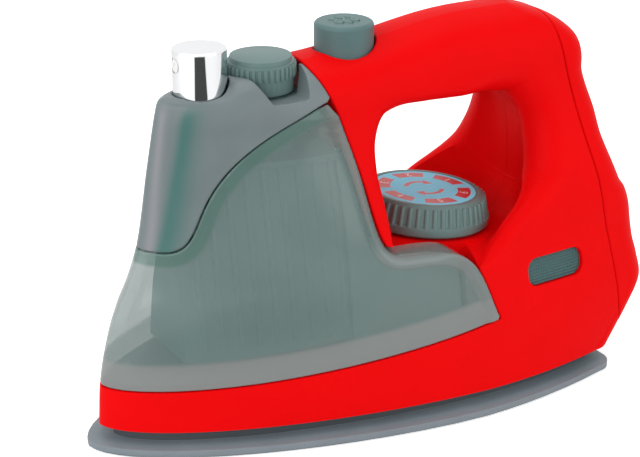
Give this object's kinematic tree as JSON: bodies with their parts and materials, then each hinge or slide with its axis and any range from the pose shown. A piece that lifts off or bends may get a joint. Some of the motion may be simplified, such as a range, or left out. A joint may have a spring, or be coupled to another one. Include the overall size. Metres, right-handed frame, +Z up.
{
  "type": "toy steam iron",
  "caption": "Pretend-play steam iron with a clear water tank, press spray head, filler cap, steam button and click dial under an open handle.",
  "frame": {"origin": "on the table, under the middle of the bounding box", "axes": "-X towards the nose, +X towards the heel, -Y the pictured side, +Z up"},
  "size_m": [0.217, 0.103, 0.1395],
  "materials": {
    "red_plastic": "glossy moulded red",
    "grey_plastic": "satin moulded blue-grey",
    "dark_plastic": "satin moulded dark grey",
    "vessel_plastic": "satin moulded grey",
    "clear_plastic": "clear smoke-tinted",
    "chrome": "vacuum-plated bright",
    "white_plastic": "natural white",
    "steel": "zinc-plated",
    "rubber": "soft black",
    "label": "printed disc",
    "lens": "tinted translucent, dimpled",
    "lamp": "clear epoxy",
    "board": "printed board",
    "cell": "sleeved cell"
  },
  "bodies": {
    "iron": {"soleplate": "grey_plastic", "sole_screws": "steel", "shell_left": "red_plastic", "shell_right": "red_plastic", "shell_screws": "steel", "rear_cover": "red_plastic", "rear_cover_screws": "steel", "tank_shell": "clear_plastic", "inner_vessel": "vessel_plastic", "tank_lid": "grey_plastic", "nose_cover": "grey_plastic", "pump_spring": "steel", "pump_barrel": "white_plastic", "pump_gasket": "rubber", "pump_collar": "white_plastic", "dip_tube": "white_plastic", "filler_neck": "grey_plastic", "button_spring": "steel", "button_guide": "dark_plastic", "button_switch": "dark_plastic", "dial_bush": "white_plastic", "dial_detent": "steel", "lens_left": "lens", "lens_right": "lens", "lamps": "lamp", "battery_box": "dark_plastic", "batteries": "cell", "battery_contacts": "steel", "battery_door": "grey_plastic", "door_screw": "steel", "circuit_board": "board", "speaker": "dark_plastic", "speaker_clamp": "grey_plastic", "wire_leads": "rubber"},
    "spray_head": {"spray_head": "chrome", "spray_orifice": "white_plastic", "pump_stem": "white_plastic"},
    "filler_seal": {"filler_seal": "rubber"},
    "filler_cap": {"filler_cap": "grey_plastic"},
    "steam_button": {"steam_button": "grey_plastic"},
    "dial": {"dial": "grey_plastic", "dial_label": "label", "dial_clip": "steel"}
  },
  "joints": [
    {"name": "spray_press", "type": "slide", "parent": "iron", "child": "spray_head", "axis": [0, 0, -1], "range_m": [0, 0.005], "stiffness_N_per_m": 160, "springref_m": -0.003, "deforming": ["pump_spring"]},
    {"name": "steam_press", "type": "slide", "parent": "iron", "child": "steam_button", "axis": [0, 0, -1], "range_m": [0, 0.003], "stiffness_N_per_m": 260, "springref_m": -0.003, "deforming": ["button_spring"]},
    {"name": "dial_turn", "type": "hinge", "parent": "iron", "child": "dial", "pos_m": [0.028, 0, 0.059], "axis": [0.0872, 0, 0.9962], "continuous": true},
    {"name": "filler_lift", "type": "slide", "parent": "iron", "child": "filler_seal", "axis": [0, 0, 1], "range_m": [0, 0.024]},
    {"name": "filler_turn", "type": "hinge", "parent": "filler_seal", "child": "filler_cap", "pos_m": [-0.0387, 0, 0.125], "axis": [0, 0, 1], "continuous": true}
  ]
}
